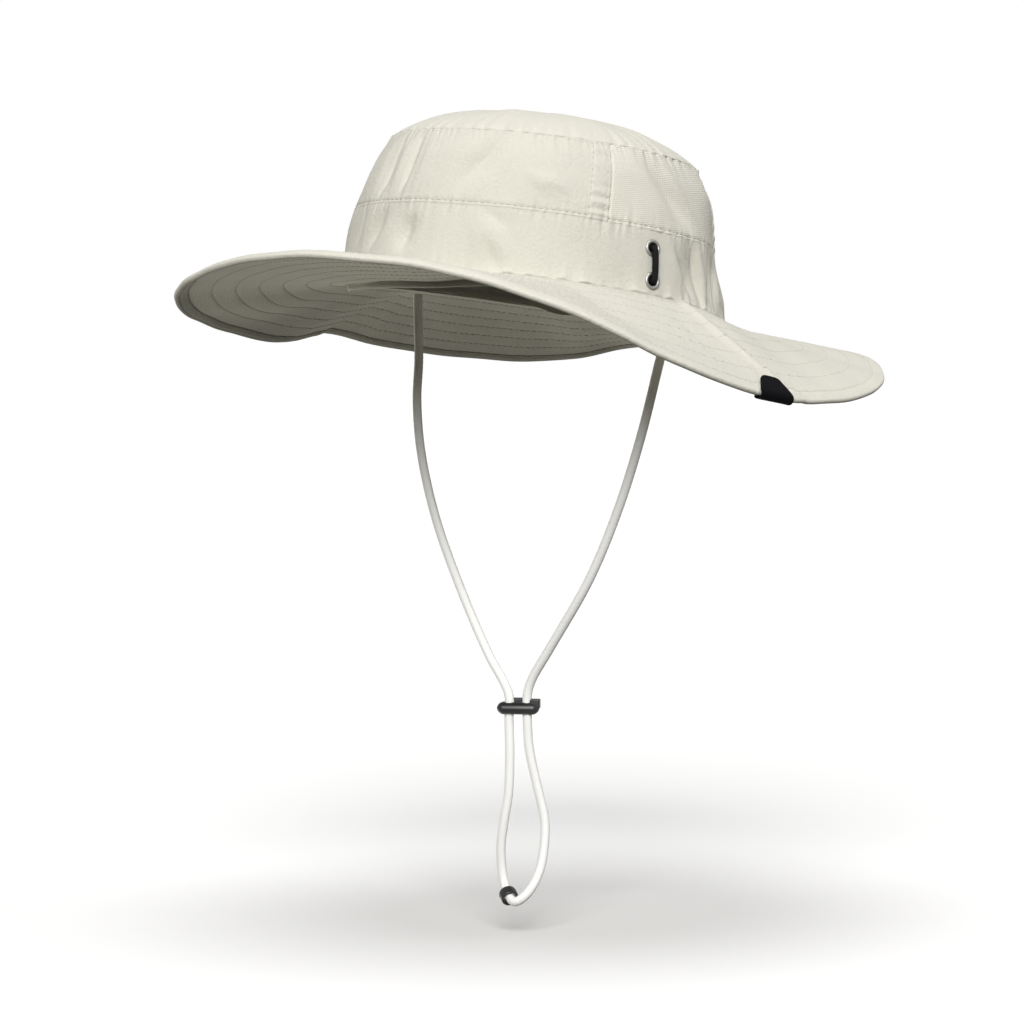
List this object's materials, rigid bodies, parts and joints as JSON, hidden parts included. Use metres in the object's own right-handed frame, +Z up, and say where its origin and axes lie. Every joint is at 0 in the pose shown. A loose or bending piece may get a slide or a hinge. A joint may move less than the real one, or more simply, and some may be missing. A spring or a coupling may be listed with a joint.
{
  "type": "sun hat",
  "caption": "Wide-brimmed cloth sun hat with a banded crown, vent panels, eyelets with elastic at the ears and a chin cord with a lock and a bead.",
  "frame": {"origin": "middle of the head opening, where the brim is sewn to the crown", "axes": "+Z up, the front of the hat points to -Y, +X to the wearer's left; the hat is tipped back by 8 degrees about X"},
  "size_m": [0.3409, 0.3848, 0.413],
  "materials": {
    "cloth": "matt fine plain weave, cream",
    "vent_mesh": "matt fine diagonal vent mesh, cream",
    "brim_cloth": "matt fine plain weave, cream, stitched in rows",
    "sweatband_cloth": "soft matt knit, cream",
    "tab_fabric": "matt black",
    "eyelet_metal": "dull nickel",
    "elastic": "black braided cover",
    "cord": "white braided cover",
    "lock_plastic": "satin black",
    "bead_plastic": "satin black"
  },
  "bodies": {
    "root": {"crown_tip": "cloth", "front_panel": "cloth", "mesh_panel_left": "vent_mesh", "back_panel": "cloth", "mesh_panel_right": "vent_mesh", "crown_band": "cloth", "brim": "brim_cloth", "edge_tab": "tab_fabric", "sweatband": "sweatband_cloth", "eyelet_left_lower": "eyelet_metal", "eyelet_left_upper": "eyelet_metal", "eyelet_right_lower": "eyelet_metal", "eyelet_right_upper": "eyelet_metal", "elastic_loop_left": "elastic", "elastic_loop_right": "elastic", "chin_cord": "cord", "cord_lock": "lock_plastic", "cord_bead": "bead_plastic"}
  },
  "joints": []
}
